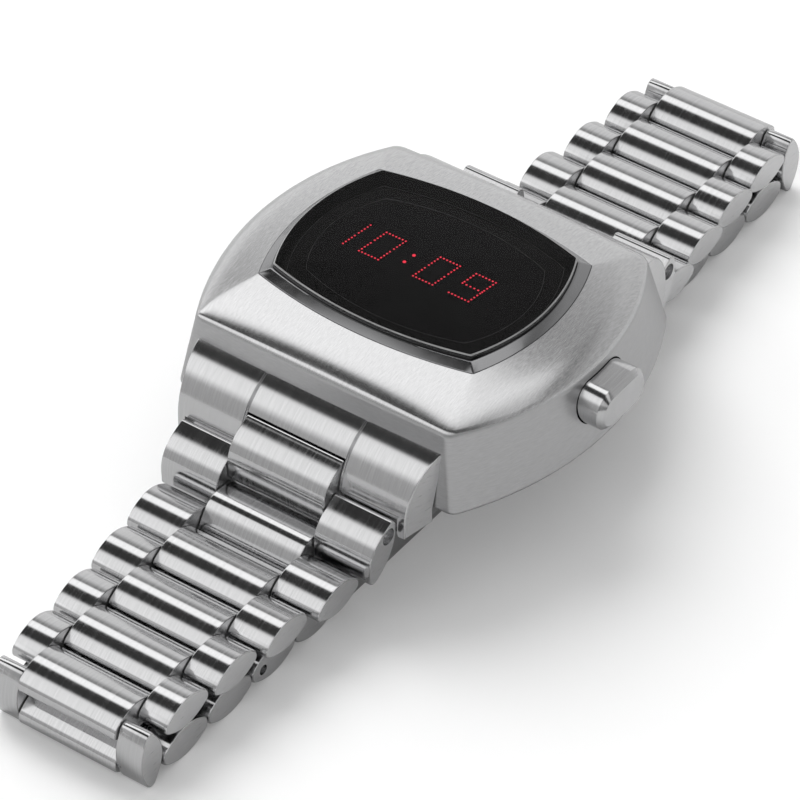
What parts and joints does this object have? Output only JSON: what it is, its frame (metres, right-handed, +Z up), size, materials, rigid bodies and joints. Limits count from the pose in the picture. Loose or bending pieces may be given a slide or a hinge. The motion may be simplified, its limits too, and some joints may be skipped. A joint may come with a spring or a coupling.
{
  "type": "digital wristwatch",
  "caption": "Digital wristwatch with a barrel-shaped brushed steel case, dark window and one push-button, on a linked steel bracelet that lies folded and clasped under the case.",
  "frame": {"origin": "on the clasp cover's outer face, which the watch lies on, straight below the middle of the case", "axes": "+X towards the push-button at 3 o'clock, +Y along the bracelet towards 12 o'clock, +Z up through the window"},
  "size_m": [0.0424, 0.1058, 0.0207],
  "materials": {
    "brushed_steel": "brushed along the bracelet",
    "polished_steel": "polished",
    "crystal": "clear, polished, smoked",
    "display_black": "gloss",
    "board_green": "satin",
    "holder_black": "matte",
    "cell_steel": "smooth",
    "contact_brass": "satin",
    "seal_rubber": "matte"
  },
  "bodies": {
    "case": {"case_body": "brushed_steel", "case_back": "brushed_steel", "back_gasket": "seal_rubber", "crystal": "crystal", "crystal_rim": "polished_steel", "led_display": "display_black", "circuit_board": "board_green", "module_holder": "holder_black", "battery": "cell_steel", "battery_clip": "contact_brass", "near_end_link": "brushed_steel", "far_end_link": "brushed_steel", "near_spring_bar": "polished_steel", "far_spring_bar": "polished_steel"},
    "push_button": {"push_button": "polished_steel"},
    "near_centre_link_1": {"near_centre_link_1": "brushed_steel"},
    "near_outer_links_1": {"near_outer_links_1": "brushed_steel"},
    "near_centre_link_2": {"near_centre_link_2": "brushed_steel"},
    "near_outer_links_2": {"near_outer_links_2": "brushed_steel"},
    "near_centre_link_3": {"near_centre_link_3": "brushed_steel"},
    "near_outer_links_3": {"near_outer_links_3": "brushed_steel"},
    "near_centre_link_4": {"near_centre_link_4": "brushed_steel"},
    "near_outer_links_4": {"near_outer_links_4": "brushed_steel"},
    "near_centre_link_5": {"near_centre_link_5": "brushed_steel"},
    "near_outer_links_5": {"near_outer_links_5": "brushed_steel"},
    "near_centre_link_6": {"near_centre_link_6": "brushed_steel"},
    "near_outer_links_6": {"near_outer_links_6": "brushed_steel"},
    "near_centre_link_7": {"near_centre_link_7": "brushed_steel"},
    "near_outer_links_7": {"near_outer_links_7": "brushed_steel"},
    "near_centre_link_8": {"near_centre_link_8": "brushed_steel"},
    "near_outer_links_8": {"near_outer_links_8": "brushed_steel"},
    "near_centre_link_9": {"near_centre_link_9": "brushed_steel"},
    "near_outer_links_9": {"near_outer_links_9": "brushed_steel"},
    "near_centre_link_10": {"near_centre_link_10": "brushed_steel"},
    "near_outer_links_10": {"near_outer_links_10": "brushed_steel"},
    "far_centre_link_1": {"far_centre_link_1": "brushed_steel"},
    "far_outer_links_1": {"far_outer_links_1": "brushed_steel"},
    "far_centre_link_2": {"far_centre_link_2": "brushed_steel"},
    "far_outer_links_2": {"far_outer_links_2": "brushed_steel"},
    "far_centre_link_3": {"far_centre_link_3": "brushed_steel"},
    "far_outer_links_3": {"far_outer_links_3": "brushed_steel"},
    "far_centre_link_4": {"far_centre_link_4": "brushed_steel"},
    "far_outer_links_4": {"far_outer_links_4": "brushed_steel"},
    "far_centre_link_5": {"far_centre_link_5": "brushed_steel"},
    "far_outer_links_5": {"far_outer_links_5": "brushed_steel"},
    "far_centre_link_6": {"far_centre_link_6": "brushed_steel"},
    "far_outer_links_6": {"far_outer_links_6": "brushed_steel"},
    "far_centre_link_7": {"far_centre_link_7": "brushed_steel"},
    "far_outer_links_7": {"far_outer_links_7": "brushed_steel"},
    "far_centre_link_8": {"far_centre_link_8": "brushed_steel"},
    "far_outer_links_8": {"far_outer_links_8": "brushed_steel"},
    "far_centre_link_9": {"far_centre_link_9": "brushed_steel"},
    "far_outer_links_9": {"far_outer_links_9": "brushed_steel"},
    "far_centre_link_10": {"far_centre_link_10": "brushed_steel"},
    "far_outer_links_10": {"far_outer_links_10": "brushed_steel"},
    "clasp_second_blade": {"clasp_second_blade": "brushed_steel"},
    "clasp_first_blade": {"clasp_first_blade": "brushed_steel"},
    "clasp_cover": {"clasp_cover": "brushed_steel"},
    "clasp_button_left": {"clasp_button_left": "polished_steel"},
    "clasp_button_right": {"clasp_button_right": "polished_steel"}
  },
  "joints": [
    {"name": "button_press", "type": "slide", "parent": "case", "child": "push_button", "axis": [-1, 0, 0], "range_m": [0, 0.0008], "stiffness_N_per_m": 500, "springref_m": -0.002},
    {"name": "near_hinge_01", "type": "hinge", "parent": "case", "child": "near_centre_link_1", "pos_m": [0, -0.0206, 0.0118], "axis": [1, 0, 0], "range_deg": [-30, 0]},
    {"name": "near_hinge_02", "type": "hinge", "parent": "near_centre_link_1", "child": "near_outer_links_1", "pos_m": [0, -0.02216, 0.00898], "axis": [-1, 0, 0], "range_deg": [0, 40]},
    {"name": "near_hinge_03", "type": "hinge", "parent": "near_outer_links_1", "child": "near_centre_link_2", "pos_m": [0, -0.02387, 0.00625], "axis": [1, 0, 0], "range_deg": [-40, 0]},
    {"name": "near_hinge_04", "type": "hinge", "parent": "near_centre_link_2", "child": "near_outer_links_2", "pos_m": [0, -0.02673, 0.00477], "axis": [-1, 0, 0], "range_deg": [0, 30]},
    {"name": "near_hinge_05", "type": "hinge", "parent": "near_outer_links_2", "child": "near_centre_link_3", "pos_m": [0, -0.02995, 0.00477], "axis": [1, 0, 0], "range_deg": [-30, 0]},
    {"name": "near_hinge_06", "type": "hinge", "parent": "near_centre_link_3", "child": "near_outer_links_3", "pos_m": [0, -0.03317, 0.00477], "axis": [-1, 0, 0], "range_deg": [0, 30]},
    {"name": "near_hinge_07", "type": "hinge", "parent": "near_outer_links_3", "child": "near_centre_link_4", "pos_m": [0, -0.03639, 0.00477], "axis": [1, 0, 0], "range_deg": [-30, 0]},
    {"name": "near_hinge_08", "type": "hinge", "parent": "near_centre_link_4", "child": "near_outer_links_4", "pos_m": [0, -0.03961, 0.00477], "axis": [-1, 0, 0], "range_deg": [0, 30]},
    {"name": "near_hinge_09", "type": "hinge", "parent": "near_outer_links_4", "child": "near_centre_link_5", "pos_m": [0, -0.04283, 0.00477], "axis": [1, 0, 0], "range_deg": [-30, 0]},
    {"name": "near_hinge_10", "type": "hinge", "parent": "near_centre_link_5", "child": "near_outer_links_5", "pos_m": [0, -0.04605, 0.00477], "axis": [-1, 0, 0], "range_deg": [0, 30]},
    {"name": "near_hinge_11", "type": "hinge", "parent": "near_outer_links_5", "child": "near_centre_link_6", "pos_m": [0, -0.04927, 0.00477], "axis": [1, 0, 0], "range_deg": [-30, 0]},
    {"name": "near_hinge_12", "type": "hinge", "parent": "near_centre_link_6", "child": "near_outer_links_6", "pos_m": [0, -0.05249, 0.00477], "axis": [1, 0, 0], "range_deg": [-60, 0]},
    {"name": "near_hinge_13", "type": "hinge", "parent": "near_outer_links_6", "child": "near_centre_link_7", "pos_m": [0, -0.05249, 0.00155], "axis": [1, 0, 0], "range_deg": [-60, 0]},
    {"name": "near_hinge_14", "type": "hinge", "parent": "near_centre_link_7", "child": "near_outer_links_7", "pos_m": [0, -0.04927, 0.00155], "axis": [-1, 0, 0], "range_deg": [0, 30]},
    {"name": "near_hinge_15", "type": "hinge", "parent": "near_outer_links_7", "child": "near_centre_link_8", "pos_m": [0, -0.04605, 0.00155], "axis": [1, 0, 0], "range_deg": [-30, 0]},
    {"name": "near_hinge_16", "type": "hinge", "parent": "near_centre_link_8", "child": "near_outer_links_8", "pos_m": [0, -0.04283, 0.00155], "axis": [-1, 0, 0], "range_deg": [0, 30]},
    {"name": "near_hinge_17", "type": "hinge", "parent": "near_outer_links_8", "child": "near_centre_link_9", "pos_m": [0, -0.03961, 0.00155], "axis": [1, 0, 0], "range_deg": [-30, 0]},
    {"name": "near_hinge_18", "type": "hinge", "parent": "near_centre_link_9", "child": "near_outer_links_9", "pos_m": [0, -0.03639, 0.00155], "axis": [-1, 0, 0], "range_deg": [0, 30]},
    {"name": "near_hinge_19", "type": "hinge", "parent": "near_outer_links_9", "child": "near_centre_link_10", "pos_m": [0, -0.03317, 0.00155], "axis": [1, 0, 0], "range_deg": [-30, 0]},
    {"name": "near_hinge_20", "type": "hinge", "parent": "near_centre_link_10", "child": "near_outer_links_10", "pos_m": [0, -0.02995, 0.00155], "axis": [-1, 0, 0], "range_deg": [0, 30]},
    {"name": "far_hinge_01", "type": "hinge", "parent": "case", "child": "far_centre_link_1", "pos_m": [0, 0.0206, 0.0118], "axis": [-1, 0, 0], "range_deg": [-30, 0]},
    {"name": "far_hinge_02", "type": "hinge", "parent": "far_centre_link_1", "child": "far_outer_links_1", "pos_m": [0, 0.02292, 0.00956], "axis": [1, 0, 0], "range_deg": [0, 60]},
    {"name": "far_hinge_03", "type": "hinge", "parent": "far_outer_links_1", "child": "far_centre_link_2", "pos_m": [0, 0.02182, 0.00654], "axis": [-1, 0, 0], "range_deg": [-20, 0]},
    {"name": "far_hinge_04", "type": "hinge", "parent": "far_centre_link_2", "child": "far_outer_links_2", "pos_m": [0, 0.02451, 0.00477], "axis": [1, 0, 0], "range_deg": [0, 30]},
    {"name": "far_hinge_05", "type": "hinge", "parent": "far_outer_links_2", "child": "far_centre_link_3", "pos_m": [0, 0.02773, 0.00477], "axis": [-1, 0, 0], "range_deg": [-30, 0]},
    {"name": "far_hinge_06", "type": "hinge", "parent": "far_centre_link_3", "child": "far_outer_links_3", "pos_m": [0, 0.03095, 0.00477], "axis": [1, 0, 0], "range_deg": [0, 30]},
    {"name": "far_hinge_07", "type": "hinge", "parent": "far_outer_links_3", "child": "far_centre_link_4", "pos_m": [0, 0.03417, 0.00477], "axis": [-1, 0, 0], "range_deg": [-30, 0]},
    {"name": "far_hinge_08", "type": "hinge", "parent": "far_centre_link_4", "child": "far_outer_links_4", "pos_m": [0, 0.03739, 0.00477], "axis": [1, 0, 0], "range_deg": [0, 30]},
    {"name": "far_hinge_09", "type": "hinge", "parent": "far_outer_links_4", "child": "far_centre_link_5", "pos_m": [0, 0.04061, 0.00477], "axis": [-1, 0, 0], "range_deg": [-30, 0]},
    {"name": "far_hinge_10", "type": "hinge", "parent": "far_centre_link_5", "child": "far_outer_links_5", "pos_m": [0, 0.04383, 0.00477], "axis": [1, 0, 0], "range_deg": [0, 30]},
    {"name": "far_hinge_11", "type": "hinge", "parent": "far_outer_links_5", "child": "far_centre_link_6", "pos_m": [0, 0.04705, 0.00477], "axis": [-1, 0, 0], "range_deg": [-30, 0]},
    {"name": "far_hinge_12", "type": "hinge", "parent": "far_centre_link_6", "child": "far_outer_links_6", "pos_m": [0, 0.05027, 0.00477], "axis": [-1, 0, 0], "range_deg": [-60, 0]},
    {"name": "far_hinge_13", "type": "hinge", "parent": "far_outer_links_6", "child": "far_centre_link_7", "pos_m": [0, 0.05027, 0.00155], "axis": [-1, 0, 0], "range_deg": [-60, 0]},
    {"name": "far_hinge_14", "type": "hinge", "parent": "far_centre_link_7", "child": "far_outer_links_7", "pos_m": [0, 0.04705, 0.00155], "axis": [1, 0, 0], "range_deg": [0, 30]},
    {"name": "far_hinge_15", "type": "hinge", "parent": "far_outer_links_7", "child": "far_centre_link_8", "pos_m": [0, 0.04383, 0.00155], "axis": [-1, 0, 0], "range_deg": [-30, 0]},
    {"name": "far_hinge_16", "type": "hinge", "parent": "far_centre_link_8", "child": "far_outer_links_8", "pos_m": [0, 0.04061, 0.00155], "axis": [1, 0, 0], "range_deg": [0, 30]},
    {"name": "far_hinge_17", "type": "hinge", "parent": "far_outer_links_8", "child": "far_centre_link_9", "pos_m": [0, 0.03739, 0.00155], "axis": [-1, 0, 0], "range_deg": [-30, 0]},
    {"name": "far_hinge_18", "type": "hinge", "parent": "far_centre_link_9", "child": "far_outer_links_9", "pos_m": [0, 0.03417, 0.00155], "axis": [1, 0, 0], "range_deg": [0, 30]},
    {"name": "far_hinge_19", "type": "hinge", "parent": "far_outer_links_9", "child": "far_centre_link_10", "pos_m": [0, 0.03095, 0.00155], "axis": [-1, 0, 0], "range_deg": [-30, 0]},
    {"name": "far_hinge_20", "type": "hinge", "parent": "far_centre_link_10", "child": "far_outer_links_10", "pos_m": [0, 0.02773, 0.00155], "axis": [1, 0, 0], "range_deg": [0, 30]},
    {"name": "clasp_bracelet_hinge", "type": "hinge", "parent": "far_outer_links_10", "child": "clasp_second_blade", "pos_m": [0, 0.02451, 0.00155], "axis": [1, 0, 0], "range_deg": [0, 90]},
    {"name": "clasp_blade_hinge", "type": "hinge", "parent": "clasp_second_blade", "child": "clasp_first_blade", "pos_m": [0, -0.02213, 0.00261], "axis": [1, 0, 0], "range_deg": [-90, 0]},
    {"name": "clasp_cover_hinge", "type": "hinge", "parent": "clasp_first_blade", "child": "clasp_cover", "pos_m": [0, 0.01731, 0.00191], "axis": [-1, 0, 0], "range_deg": [-180, 0]},
    {"name": "clasp_button_left_press", "type": "slide", "parent": "clasp_cover", "child": "clasp_button_left", "axis": [1, 0, 0], "range_m": [0, 0.0004], "stiffness_N_per_m": 300, "springref_m": -0.001},
    {"name": "clasp_button_right_press", "type": "slide", "parent": "clasp_cover", "child": "clasp_button_right", "axis": [-1, 0, 0], "range_m": [0, 0.0004], "stiffness_N_per_m": 300, "springref_m": -0.001}
  ],
  "couplings": [
    {"joint": "clasp_cover_hinge", "follows": "clasp_blade_hinge", "ratio": 2}
  ]
}
